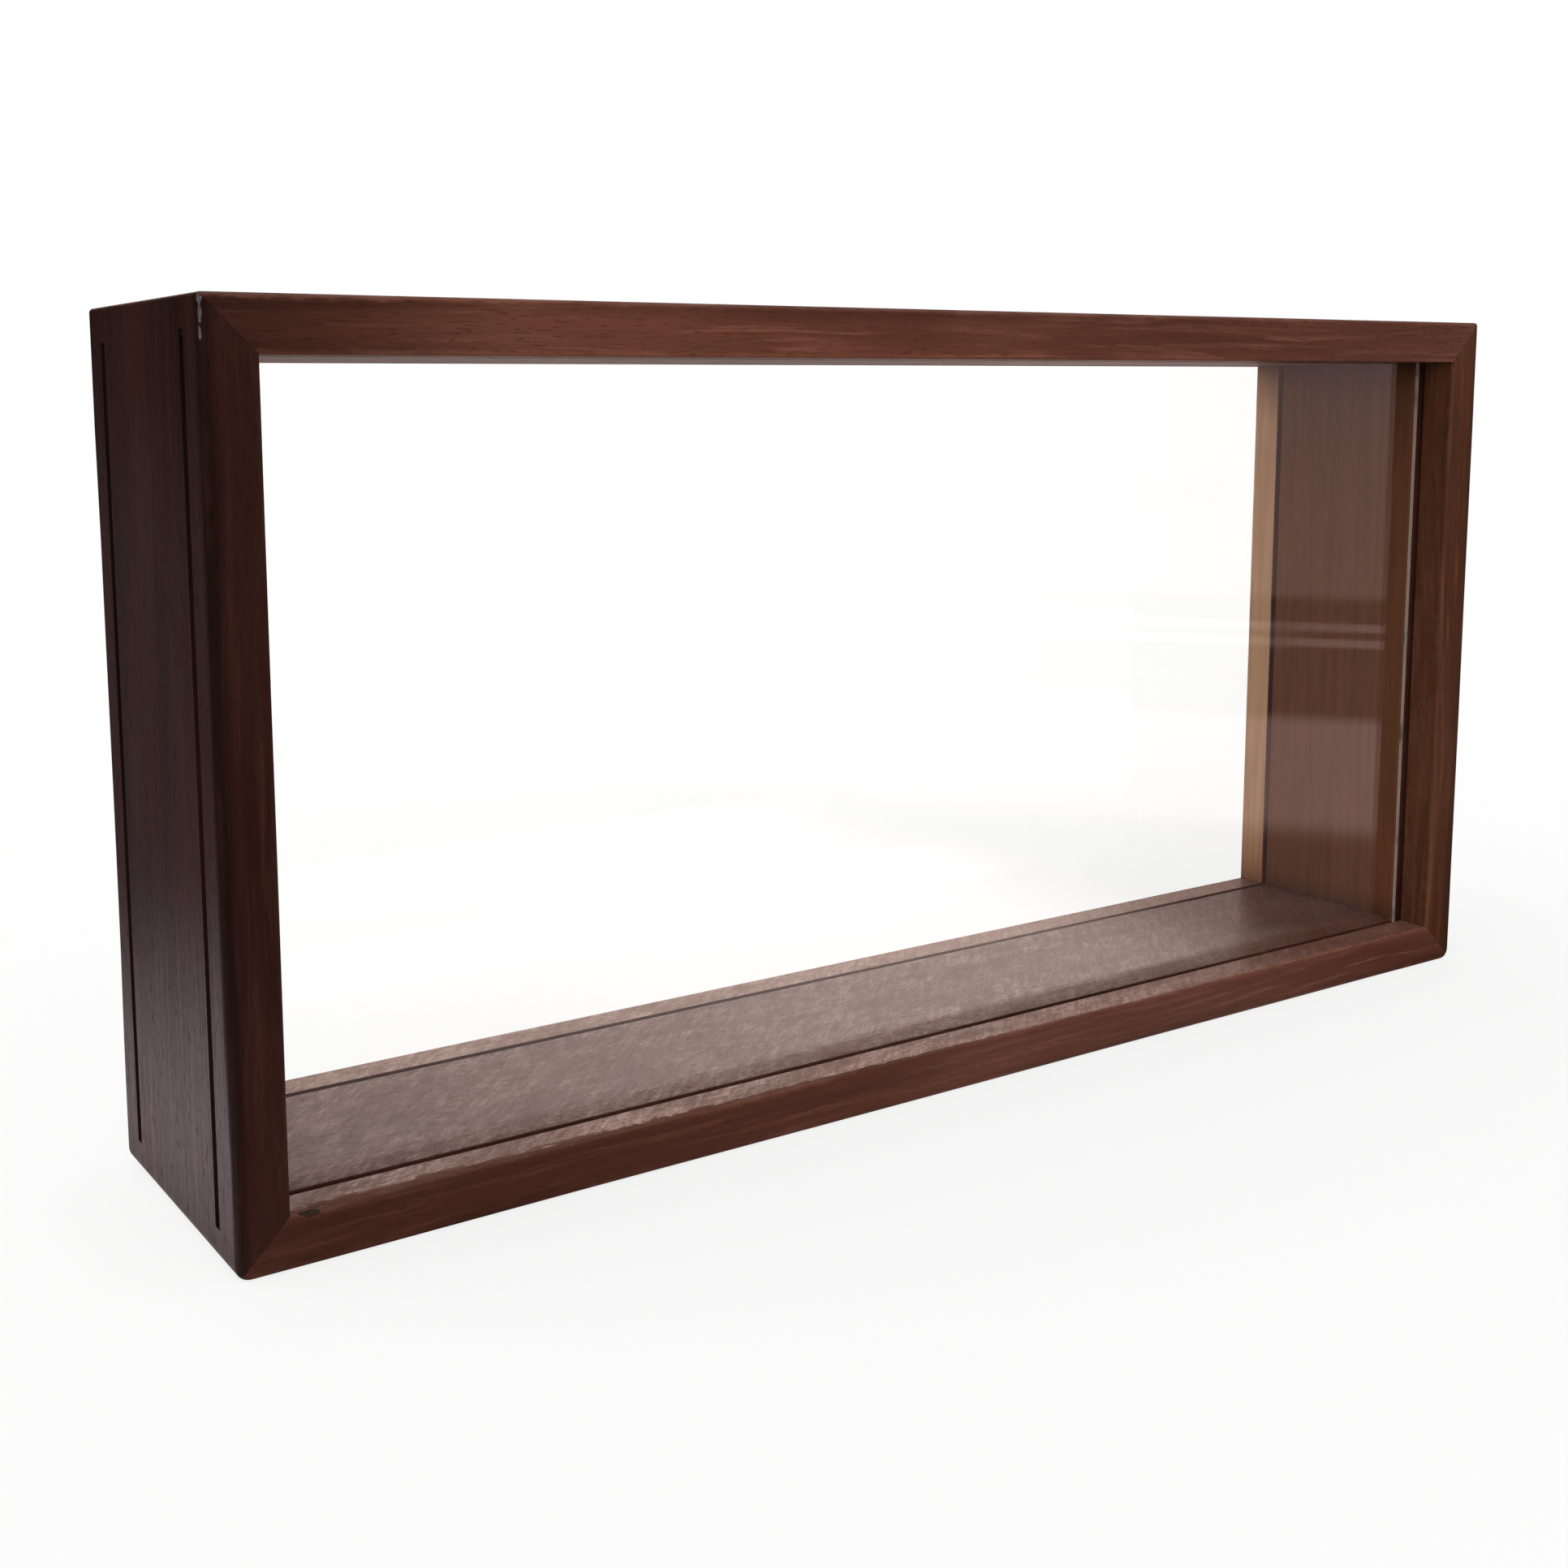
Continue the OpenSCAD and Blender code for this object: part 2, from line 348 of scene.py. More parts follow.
class Output:
    """What a node puts out. Whatever is worked out from it adds nodes to its tree."""

    def __init__(self, tree, socket):
        self.tree, self.socket = tree, socket

    def __add__(self, other):
        return self.maths("ADD", other)

    def __sub__(self, other):
        return self.maths("SUBTRACT", other)

    def __rsub__(self, other):
        return output(self.tree, "ShaderNodeMath", {0: other, 1: self}, operation="SUBTRACT")

    def __mul__(self, other):
        return self.maths("MULTIPLY", other)

    def __truediv__(self, other):
        return self.maths("DIVIDE", other)

    def __lt__(self, other):
        return self.maths("LESS_THAN", other)

    def __gt__(self, other):
        return self.maths("GREATER_THAN", other)

    def __abs__(self):
        return self.maths("ABSOLUTE")

    def maths(self, operation, *others, clamp=False):
        """This number and others in a Math node."""
        values = dict(enumerate((self, *others)))
        return output(self.tree, "ShaderNodeMath", values, operation=operation, use_clamp=clamp)

    def vectors(self, operation, *others, out=0):
        """This vector and others in a Vector Math node."""
        values = dict(enumerate((self, *others)))
        return output(self.tree, "ShaderNodeVectorMath", values, out, operation=operation)

    def along(self, way):
        """How far this vector reaches in a direction."""
        return self.vectors("DOT_PRODUCT", way, out="Value")

    def split(self):
        """The three axes of this vector."""
        return outputs(self.tree, "ShaderNodeSeparateXYZ", {0: self}).values()

    def cloud(self, stretch, detail=2.0, roughness=0.5, out="Fac"):
        """Noise at this place, with its own stretch along each axis."""
        return output(self.tree, "ShaderNodeTexNoise", {
            "Vector": self.vectors("MULTIPLY", stretch),
            "Scale": 1.0, "Detail": detail, "Roughness": roughness,
        }, out)

    def ramp(self, low, high, to_low=0.0, to_high=1.0):
        """This number eased from to_low at low to to_high at high."""
        return output(self.tree, "ShaderNodeMapRange", {
            "Value": self, "From Min": low, "From Max": high, "To Min": to_low, "To Max": to_high,
        }, "Result", interpolation_type="SMOOTHSTEP")

    def between(self, low, high, ease, level):
        """Level while this number goes from low to high, eased to nothing outside."""
        rising = self.ramp(low - ease, low + ease, 0.0, level)
        return rising * self.ramp(high - ease, high + ease, 1.0, 0.0)

    def blend(self, first, second, mode="MIX"):
        """Colour mixed by this share. A Mix node's colours are its inputs 6 and 7 and its output 2."""
        colours = {0: self, 6: four(first), 7: four(second)}
        return output(self.tree, "ShaderNodeMix", colours, 2, data_type="RGBA", blend_type=mode)

    def bump(self, strength, distance):
        """Normal of a surface with this relief."""
        relief = {"Height": self, "Strength": strength, "Distance": distance}
        return output(self.tree, "ShaderNodeBump", relief)

    def mix_shaders(self, first, second):
        """Shader mixed by this share."""
        return output(self.tree, "ShaderNodeMixShader", {0: self, 1: first, 2: second})


def feed(tree, made, inputs):
    """Links each input of a node that is given an output, and sets any other value on it."""
    for key, value in inputs.items():
        if isinstance(value, Output):
            tree.links.new(value.socket, made.inputs[key])
        else:
            made.inputs[key].default_value = value
    return made


def add_node(tree, kind, inputs=None, **settings):
    """Adds a node and feeds its inputs."""
    made = tree.nodes.new(kind)
    for name, value in settings.items():
        setattr(made, name, value)
    return feed(tree, made, inputs or {})


def output(tree, kind, inputs=None, out=0, **settings):
    """Adds a node; returns one of its outputs."""
    return Output(tree, add_node(tree, kind, inputs, **settings).outputs[out])


def outputs(tree, kind, inputs=None, **settings):
    """Adds a node; returns its outputs by name."""
    made = add_node(tree, kind, inputs, **settings)
    return {socket.name: Output(tree, socket) for socket in made.outputs}


def sum_shaders(first, *others):
    """Shaders added together."""
    for other in others:
        first = output(first.tree, "ShaderNodeAddShader", {0: first, 1: other})
    return first


def show(tree, shader):
    """Puts a shader on the surface."""
    feed(tree, tree.nodes["Material Output"], {"Surface": shader})


def four(colour):
    """A colour with full alpha. A node's output stays as it is."""
    return colour if isinstance(colour, Output) else (*colour[:3], 1.0)


def toned(colour, tone):
    """A colour made lighter or darker."""
    return four([min(1.0, channel * tone) for channel in colour])


# Node groups

BOARD_INPUTS = {
    "Place": ORIGIN, "Half length": BOX.x / 2, "Half depth": HALF_DEPTH, "Thickness": BOARD_T,
}


def new_group(name, inputs):
    """Starts a shader node group with these inputs; returns its tree and what it is given."""
    tree = bpy.data.node_groups.new(name, "ShaderNodeTree")
    for label, value in inputs.items():
        kind = "NodeSocketFloat"
        if not isinstance(value, float):
            kind = "NodeSocketVector" if len(value) == 3 else "NodeSocketColor"
        tree.interface.new_socket(name=label, in_out="INPUT", socket_type=kind).default_value = value
    return tree, outputs(tree, "NodeGroupInput")


def put_out(tree, **results):
    """Ends a node group: each result leaves it by an output of that name."""
    for label, result in results.items():
        kind = "NodeSocketColor" if result.socket.type == "RGBA" else "NodeSocketFloat"
        tree.interface.new_socket(name=label, in_out="OUTPUT", socket_type=kind)
    add_node(tree, "NodeGroupOutput", results)


def use_group(tree, name, inputs):
    """Places a node group in a material; returns what it puts out."""
    return outputs(tree, "ShaderNodeGroup", inputs, node_tree=bpy.data.node_groups[name])


def make_grain_group():
    """Stained hardwood: wavy ribbons, fine streaks and open pores that run along X."""
    tree, given = new_group("stained_grain", {
        "Place": ORIGIN, "Seed": 0.0, "Dark": BLACK, "Middle": BLACK, "Light": BLACK, "Gloss": 0.40,
    })
    dark, middle, light = given["Dark"], given["Middle"], given["Light"]
    shift = output(tree, "ShaderNodeCombineXYZ", {0: given["Seed"], 1: given["Seed"]})
    place = given["Place"].vectors("ADD", shift)
    sway = place.cloud((5, 16, 16), out="Color").vectors("SUBTRACT", (0.5, 0.5, 0.5))
    place = place.vectors("ADD", sway.vectors("MULTIPLY", (0.0, 11 * MM, 11 * MM)))
    ribbons = place.cloud((2.5, 70, 55), 3.0, 0.55)
    streaks = place.cloud((16, 430, 430), 4.0, 0.6)
    dashes = place.cloud((70, 900, 900), 3.0, 0.6)
    patches = place.cloud((7, 26, 26))
    pores = place.cloud((190, 2100, 2100), 1.0).ramp(0.60, 0.72)
    body = ribbons.ramp(0.30, 0.66).blend(dark, middle)
    body = streaks.ramp(0.46, 0.78, 0.0, 0.75).blend(body, light)
    body = patches.ramp(0.38, 0.72, 0.0, 0.42).blend(body, light)
    body = dashes.ramp(0.52, 0.74, 0.0, 0.55).blend(body, dark)
    body = (pores * 0.7).blend(body, dark)
    height = streaks * 0.35 - pores - dashes.ramp(0.5, 0.75, 0.0, 0.4)
    rough = streaks.ramp(0.3, 0.7, -0.05, 0.06) + pores * 0.2 + given["Gloss"]
    put_out(tree, Colour=body, Height=height, Roughness=rough)


def make_wear_and_highlight_group():
    """Lighter colour along a board's four long edges and at its two tips: wear, and painted highlight on
    the arrises.
    """
    tree, given = new_group("edge_wear", {**BOARD_INPUTS, "Reach": 3 * MM})
    place = given["Place"]
    length, depth, rise = place.split()
    from_side = given["Half depth"] - abs(depth)
    from_tip = given["Half length"] - abs(length)
    from_face = abs(rise).maths("MINIMUM", abs(given["Thickness"] - rise))
    arris = from_side.maths("MAXIMUM", from_face)
    tip = from_tip.maths("MAXIMUM", abs(rise))
    ragged = place.cloud((130, 420, 420), 4.0, 0.65) - 0.5
    near = arris.maths("MINIMUM", tip) / given["Reach"] + ragged * 1.6
    patchy = place.cloud((14, 30, 30)).ramp(0.40, 0.62, 0.15, 1.0)
    put_out(tree, Wear=near.ramp(0.15, 0.8, 1.0, 0.0) * patchy)


def make_mottle_and_sheen_group():
    """Mottled figure on the inner face: short pale strokes across the grain and specks, partly painted
    sheen, thinned towards the high tip as painted shade; and uneven polish.
    """
    tree, given = new_group("mottled_figure", {
        **BOARD_INPUTS, "Front margin": 0.0, "Groove depth": FRONT_Y, "Amount": 0.5, "Polish amount": 0.3,
    })
    place = given["Place"]
    length, depth, rise = place.split()
    layers = []
    for turn, stretch in ((-44, (90, 420, 420)), (-14, (170, 560, 560))):
        turned = output(tree, "ShaderNodeVectorRotate", {
            "Vector": place, "Angle": math.radians(turn),
        }, rotation_type="Z_AXIS")
        layers.append(turned.cloud(stretch, 4.0, 0.7).ramp(0.38, 0.70))
    strokes = (layers[0] + layers[1]) * 0.55
    specks = place.cloud((560, 900, 900), 3.0, 0.65).ramp(0.44, 0.66)
    gathered = place.cloud((30, 85, 85), 3.0, 0.6).ramp(0.36, 0.62, 0.30, 1.0)
    gone = length / given["Half length"]
    # fewer flecks towards the high tip: painted shade
    fleck_and_sheen = (specks * 0.45 + strokes) * gathered * gone.ramp(0.15, 0.85, 1.0, 0.18)

    ragged = place.cloud((150, 260, 260), 3.0, 0.6).ramp(0.3, 0.7, 0.5, 1.4)
    margin = given["Front margin"] * ragged * gone.ramp(-1.0, 0.5, 1.0, 0.0)
    past = depth + given["Half depth"] - margin
    under = given["Thickness"] - rise
    on_top = under.ramp(0.3 * MM, 0.9 * MM, 1.0, 0.0) * past.ramp(0.0, 0.8 * MM)
    shown = (fleck_and_sheen * on_top).maths("MULTIPLY", given["Amount"], clamp=True)

    behind = depth - given["Groove depth"]
    unrubbed = behind.ramp(3 * MM, 15 * MM, 0.6, 0.0) * (behind > 0.0)
    polish = on_top * layers[0].ramp(0.0, 1.0, 0.55, 1.0) * (1.0 - unrubbed)
    put_out(tree, Fleck=shown, Height=shown * 0.6, Polish=polish * given["Polish amount"])


def make_darkening_group():
    """Darker colour towards a board's two tips, and painted shade along its outer edges."""
    tree, given = new_group("stain_soak", {
        **BOARD_INPUTS, "Low reach": 0.1, "Low amount": 0.5, "High reach": 0.1, "High amount": 0.5,
        "Edge amount": 0.3,
    })
    length, depth, rise = given["Place"].split()
    uneven = given["Place"].cloud((9, 160, 160), 3.0) * 0.5
    on_side = (given["Half depth"] - abs(depth)).ramp(1 * MM, 7 * MM, 1.0, 0.0)
    low_down = (rise + uneven * (2 * MM)).ramp(2 * MM, 7 * MM, 1.0, 0.0)
    darkening = on_side * low_down * given["Edge amount"]
    for side, end in ((-1.0, "Low"), (1.0, "High")):
        gone = (given["Half length"] - length * side) / given[end + " reach"] + uneven
        darkening = darkening.maths("MAXIMUM", gone.ramp(0.25, 1.25, 1.0, 0.0) * given[end + " amount"])
    under = given["Thickness"] - rise
    put_out(tree, Soak=darkening * under.ramp(0.2 * MM, 0.9 * MM, 0.35, 1.0))


def make_painted_light_group():
    """Painted light on the inner face behind a groove, thinning towards the tips as painted shade."""
    tree, given = new_group("daylight_fade", {
        "Place": ORIGIN, "Half length": BOX.z / 2, "From depth": REAR_Y, "From rise": BOARD_T,
        "Tip reach": BACKLIGHT_REACH, "Amount": 0.5,
    })
    length, depth, rise = given["Place"].split()
    lit = (depth > given["From depth"]) * (rise > given["From rise"])
    uneven = given["Place"].cloud((18, 300, 300), 3.0).ramp(0.25, 0.7, 0.7, 1.0)
    from_tip = given["Half length"] - abs(length)
    painted_light = lit * uneven * from_tip.ramp(8 * MM, given["Tip reach"])
    put_out(tree, Fade=painted_light.maths("MULTIPLY", given["Amount"], clamp=True))


def make_dust_group():
    """Fine dust on upward faces: a thin film with specks in it."""
    tree, given = new_group("dust_film", {"Place": ORIGIN, "Amount": 0.3})
    film = given["Place"].cloud((45, 70, 70), 5.0, 0.7).ramp(0.25, 0.80, 0.0, 0.7)
    specks = given["Place"].cloud((620, 900, 900)).ramp(0.62, 0.72, 0.0, 0.8)
    _, _, upward = output(tree, "ShaderNodeNewGeometry", out="Normal").split()
    lying = upward.ramp(0.45, 0.9) * given["Amount"]
    put_out(tree, Dust=(film + specks).maths("MULTIPLY", lying, clamp=True))


def make_smudge_group():
    """Wiped streaks and finger marks on a polished face."""
    tree, given = new_group("smudges", {"Place": ORIGIN, "Low": 0.0, "High": 0.1})
    wiped = given["Place"].cloud((9, 9, 34), 3.0, 0.6).ramp(0.40, 0.75)
    film = wiped * given["Place"].cloud((42, 42, 42)).ramp(0.35, 0.7, 0.3, 1.0)
    rough = output(tree, "ShaderNodeMapRange", {
        "Value": film, "To Min": given["Low"], "To Max": given["High"],
    }, "Result")
    put_out(tree, Roughness=rough, Film=film)


GROUP_MAKERS = (
    make_grain_group, make_mottle_and_sheen_group, make_darkening_group, make_wear_and_highlight_group,
    make_painted_light_group, make_dust_group, make_smudge_group,
)


# Materials

def new_material(name):
    """A node material; returns it, its tree, its shader and its own coordinates."""
    material = bpy.data.materials.new(name)
    material.use_nodes = True
    tree = material.node_tree
    tree.nodes.clear()
    shader = add_node(tree, "ShaderNodeBsdfPrincipled")
    add_node(tree, "ShaderNodeOutputMaterial", {"Surface": Output(tree, shader.outputs[0])})
    return material, tree, shader, output(tree, "ShaderNodeTexCoord", out="Object")


def stained_wood(name, wood, sizes, look):
    """Stained and lacquered board, with its own figure."""
    material, tree, shader, place = new_material(name)
    tone, half = look["tone"], look["length"] / 2
    dark, middle, light = (Vector(c) * Vector(look["hue"]) for c in (wood.dark, wood.middle, wood.light))
    grain = use_group(tree, "stained_grain", {
        "Place": place, "Seed": look["seed"], "Gloss": look["gloss"],
        "Dark": toned(dark.lerp(middle, look["even"]), tone),
        "Middle": toned(middle, tone), "Light": toned(light, tone),
    })
    board = {"Place": place, "Half length": half, "Half depth": HALF_DEPTH, "Thickness": sizes.board_t}
    figure = use_group(tree, "mottled_figure", {
        **board, "Front margin": look["margin"], "Groove depth": FRONT_Y,
        "Amount": look["fleck_and_sheen"], "Polish amount": look["polish"],
    })
    tips = dict(zip(("Low reach", "Low amount", "High reach", "High amount"), look["darkening"]))
    darkened = use_group(tree, "stain_soak", {**board, **tips, "Edge amount": look["edge_shade"]})["Soak"]
    # lighter edges: wear, and painted highlight on the arrises
    worn = use_group(tree, "edge_wear", board)["Wear"] * look["wear"]
    inner = {"Place": place, "Half length": half, "From rise": sizes.board_t - sizes.lip_r}
    # painted backlight behind the rear groove, in the bare wood colour, and painted haze behind the front
    # groove
    backlit = use_group(tree, "daylight_fade", {
        **inner, "From depth": REAR_Y, "Tip reach": BACKLIGHT_REACH, "Amount": look["painted_light"],
    })["Fade"]
    haze_lit = use_group(tree, "daylight_fade", {
        **inner, "From depth": FRONT_Y, "Tip reach": HAZE_REACH, "Amount": look["pale"],
    })["Fade"]
    film = use_group(tree, "dust_film", {"Place": place, "Amount": look["dust"]})["Dust"]
    # darker towards the tips, with painted shade along the outer edges
    colour = darkened.blend(grain["Colour"], DARKENING_TINT, "MULTIPLY")
    for amount, tint in (
        (figure["Fleck"], FLECK_AND_SHEEN), (worn, toned(wood.light, tone * WORN_AND_HIGHLIT)), (haze_lit, toned(light, HAZE_LIGHTNESS)),
        (backlit, wood.bare), (film, wood.dust),
    ):
        colour = amount.blend(colour, tint)
    feed(tree, shader, {
        "Base Color": colour, "IOR": LACQUER_IOR, "Specular IOR Level": look["shine"],
        "Roughness": grain["Roughness"].maths("ADD", film * 0.25, clamp=True),
        "Normal": (grain["Height"] + figure["Height"]).bump(0.35, 0.25 * MM),
    })
    if look["polish"]:
        feed(tree, shader, {"Coat Weight": figure["Polish"], "Coat Roughness": POLISH_ROUGHNESS})
    return material


def sawn_wood(name, tones, seed):
    """Raw wood in a dark, a middle and a light tone: dull, with the marks of the saw across it."""
    material, tree, shader, place = new_material(name)
    shades = dict(zip(("Dark", "Middle", "Light"), tones))
    grain = use_group(tree, "stained_grain", {"Place": place, "Seed": seed, **shades})
    blade = place.cloud((1500, 40, 40), 1.0)
    feed(tree, shader, {
        "Base Color": grain["Colour"], "Specular IOR Level": SAWN_SHINE,
        "Roughness": blade.ramp(0.3, 0.7, 0.75, 0.95),
        "Normal": (grain["Height"] + blade).bump(0.4, 0.3 * MM),
    })
    return material


def clear_glass(glass):
    """Polished sheet glass with faint smudges. Lamps shine through it."""
    material, tree, shader, place = new_material("clear_glass")
    marks = use_group(tree, "smudges", {"Place": place, "Low": 0.0, "High": GLASS_ROUGHEST})
    feed(tree, shader, {
        "Base Color": (marks["Film"] * 0.06).blend(glass.clear, SMUDGE),
        "Roughness": marks["Roughness"], "Transmission Weight": 1.0, "IOR": GLASS_IOR,
    })
    shadow_ray = output(tree, "ShaderNodeLightPath", out="Is Shadow Ray")
    through = output(tree, "ShaderNodeBsdfTransparent", {"Color": GLASS_SHADE})
    show(tree, shadow_ray.mix_shaders(Output(tree, shader.outputs[0]), through))
    return material


def ground_glass(glass):
    """Ground edge of a pane: pale, matt, finely scratched along its length and chipped here and there."""
    material, tree, shader, place = new_material("ground_glass_edge")
    grit = place.cloud((1400, 1400, 1400), 3.0, 0.6)
    drag = place.cloud((90, 1600, 90))
    chipped = place.cloud((60, 60, 46), 3.0, 0.6).ramp(0.54, 0.68, 0.0, 0.75)
    colour = grit.ramp(0.35, 0.7, 0.0, 0.5).blend(glass.ground, GROUND_GRIT)
    feed(tree, shader, {
        "Base Color": chipped.blend(colour, GROUND_CHIP),
        "Roughness": drag.ramp(0.3, 0.7, 0.55, 0.75),
        "Normal": (grit + drag).bump(0.3, 0.1 * MM),
    })
    return material


# Boards

def held(value):
    """Value kept between 0 and 1."""
    return min(1.0, max(0.0, value))


def evenly(first, last, steps):
    """Evenly spaced values from first to last, both included."""
    return [first + (last - first) * i / steps for i in range(steps + 1)]


def arc(centre, radius, first, last, steps):
    """Points of an arc from first to last degree, both included."""
    turns = [math.radians(turn) for turn in evenly(first, last, steps)]
    return [(centre[0] + radius * math.cos(a), centre[1] + radius * math.sin(a)) for a in turns]


def board_section(sizes, edge_r, lip_r, front_lip_r):
    """Section of a board as (depth, rise, in a groove) rows: rise is 0 on the outer face."""
    half, rise, ease = HALF_DEPTH, sizes.board_t, sizes.groove_easing
    flat = half - edge_r
    points = [(-flat, 0.0)]
    points += [(depth, 0.0) for depth in evenly(SUPPORT - flat, flat - SUPPORT, SPAN_STEPS)]
    points += arc((flat, edge_r), edge_r, -90, 0, EDGE_STEPS)
    points += [(half, z) for z in (edge_r + SUPPORT, rise / 2, rise - lip_r - SUPPORT)]
    points += arc((half - lip_r, rise - lip_r), lip_r, 0, 90, LIP_STEPS)
    last = half - lip_r - SUPPORT
    points.append((last, rise))
    rows = [(*point, False) for point in points]
    for middle in (REAR_Y, FRONT_Y):
        near, far = middle + sizes.groove_w / 2, middle - sizes.groove_w / 2
        rows += [(depth, rise, False) for depth in evenly(last, near + ease, LIP_STEPS)[1:]]
        rows += [
            (near, rise - ease, True), (near, sizes.groove_floor, True),
            (far, sizes.groove_floor, True), (far, rise - ease, True), (far - ease, rise, False),
        ]
        last = far - ease
    points = [(depth, rise) for depth in evenly(last, front_lip_r + SUPPORT - half, LIP_STEPS)[1:]]
    points += arc((front_lip_r - half, rise - front_lip_r), front_lip_r, 90, 180, LIP_STEPS)
    points += [(-half, z) for z in (rise - front_lip_r - SUPPORT, rise / 2, edge_r + SUPPORT)]
    points += arc((-flat, edge_r), edge_r, 180, 270, EDGE_STEPS)[:-1]
    return rows + [(*point, False) for point in points]


def along_tip(way, end, r, rise):
    """Length and rise of a section point, part of the way from the start of the tip zone to the mitre."""
    start = end - TIP_ZONE
    if rise >= r:
        return start + (TIP_ZONE - rise) * way, rise
    straight = TIP_ZONE - r
    bend = (r - rise) * math.pi / 4
    gone = way * (straight + bend)
    if gone <= straight:
        return start + gone, rise
    turn = (gone - straight) / (r - rise)
    return end - r + (r - rise) * math.sin(turn), r - (r - rise) * math.cos(turn)


def inward(rows):
    """Unit vectors that point into the wood, one for each section point."""
    found = []
    for i in range(len(rows)):
        before, after = rows[i - 1], rows[(i + 1) % len(rows)]
        run = Vector((after[0] - before[0], after[1] - before[1])).normalized()
        found.append(Vector((-run.y, run.x)))
    return found


def sweep_board(sizes, look):
    """Mitred board lying on its outer face, its length along X, as a bmesh."""
    end, seed = look["length"] / 2, look["seed"]
    r_low, r_high = (getattr(sizes, radius) for radius in look["tips"])
    inner = end - TIP_ZONE
    stations = [(-1, way) for way in reversed(TIP_STEPS)]
    stations += [(0, x) for x in evenly(-inner, inner, round(2 * inner / STATION_STEP))]
    stations += [(1, way) for way in TIP_STEPS]
    bm = bmesh.new()
    loops = []
    for side, value in stations:
        x_near = side * end if side else value
        wobble = noise.noise(Vector((x_near * WANDER_PITCH, seed, WANDER_LAYER)))
        from_tip = held((inner - abs(x_near)) / TIP_ZONE)
        edge_r = sizes.edge_r * (1 + EDGE_WANDER * wobble) * (1 + (look["fuller"] - 1) * from_tip)
        lip_r = sizes.lip_r * (1 - LIP_WANDER * wobble)
        worn = held((WORN_LIP_END - x_near / end) / (WORN_LIP_END + 1))
        if side:
            worn *= min(1.0, 2 - 2 * value)
        rows = board_section(sizes, edge_r, lip_r, lip_r * (1 + (look["worn_lip"] - 1) * worn))
        loop = []
        for (depth, rise, in_groove), into in zip(rows, inward(rows)):
            x = value
            if side:
                x, rise = along_tip(value, end, r_high if side > 0 else r_low, rise)
                x *= side
            cut = sizes.seam if side and value == TIP_STEPS[-1] else 0.0
            if not in_groove:
                place = Vector((x, depth, rise)) * PLANING_PITCH + Vector((0, seed, 0))
                cut += sizes.hand_play * (0.5 + 0.5 * noise.noise(place))
            loop.append(bm.verts.new((x, depth + into.x * cut, rise + into.y * cut)))
        loops.append(loop)
    size = len(rows)
    for first, second in zip(loops, loops[1:]):
        for p in range(size):
            q = (p + 1) % size
            face = bm.faces.new((first[p], first[q], second[q], second[p]))
            face.material_index = SAWN if rows[p][2] or rows[q][2] else STAINED
    for cap in (loops[-1], list(reversed(loops[0]))):
        bm.faces.new(cap).material_index = SAWN
    return bm


def set_slot(verts, slot):
    """Gives the faces between these points a material slot."""
    for face in {f for v in verts for f in v.link_faces}:
        face.material_index = slot


def add_box(bm, low, high, slot):
    """Adds a block between two corners."""
    verts = bmesh.ops.create_cube(bm, size=1.0)["verts"]
    size, middle = Vector(high) - Vector(low), (Vector(high) + Vector(low)) / 2
    for vert in verts:
        vert.co = vert.co * size + middle
    set_slot(verts, slot)
    return verts


def add_gouge(bm, place, size, seed, slot):
    """Adds a rough lump, the shape of a missing chip."""
    verts = bmesh.ops.create_icosphere(bm, subdivisions=3, radius=1.0)["verts"]
    (large, large_pitch), (small, small_pitch) = LUMPS
    for vert in verts:
        bulge = 1 + large * noise.noise(vert.co * large_pitch + Vector((seed, seed * 0.7, 0)))
        bulge += small * noise.noise(vert.co * small_pitch + Vector((0, seed, seed)))
        vert.co = vert.co * Vector(size) * bulge + Vector(place)
    set_slot(verts, slot)


def add_pocket(bm, end, sign):
    """Adds the block that a spline and its glue take up, at one tip of a board of this half length."""
    reach = BOX.x / 2 - (SPLINE_LOW[0] + SPLINE_HIGH[0]) / 2
    half = Vector((SPLINE_T, SPLINE_HIGH[1] - SPLINE_LOW[1], SPLINE_W)) / 2 + Vector((SPLINE_GAP,) * 3)
    verts = add_box(bm, -half, half, SAWN)
    place = Matrix.Translation((sign * (end - reach), (SPLINE_LOW[1] + SPLINE_HIGH[1]) / 2, reach))
    turn = Matrix.Rotation(sign * math.pi / 4, 4, "Y")
    bmesh.ops.transform(bm, matrix=place @ turn, verts=verts)


def add_knocks(bm, name, top):
    """Adds the knocks and dents that a board has taken."""
    look = BOARDS[name]
    length, front = look["length"], -HALF_DEPTH
    for count, ((x, y, z), size, slot) in enumerate(look["knocks"]):
        place = (x * MM - length / 2, front + y * MM, z * MM)
        add_gouge(bm, place, Vector(size) * MM, KNOCK_SEED + count * KNOCK_SEED_STEP, slot)
    draw = random.Random(name)
    for _ in range(DENTS):
        x = draw.uniform(-DENT_SPREAD, DENT_SPREAD) * length
        y = draw.choice((front, -front))
        z = draw.choice((0.0, 0.0, top))
        size = draw.uniform(*DENT_SIZES) * MM
        add_gouge(bm, (x, y, z), (size * DENT_STRETCH, size, size), x * DENT_SEED_PITCH, STAINED)
    if name == "bottom_rail":
        for count in range(LIP_DENTS):
            x = ((draw.uniform(0.1, 0.9) + count) / LIP_DENTS - 0.5) * LIP_DENT_SPREAD * length
            size = draw.uniform(*LIP_DENT_SIZES) * MM
            reach = size * draw.uniform(*LIP_DENT_STRETCH)
            add_gouge(bm, (x, front, top), (reach, size, size), x * DENT_SEED_PITCH, STAINED)


def add_object(context, name, bm, materials):
    """Makes a mesh object from a bmesh, which is then freed."""
    mesh = bpy.data.meshes.new(name)
    bm.to_mesh(mesh)
    bm.free()
    for material in materials:
        mesh.materials.append(material)
    made = bpy.data.objects.new(name, mesh)
    context.collection.objects.link(made)
    return made


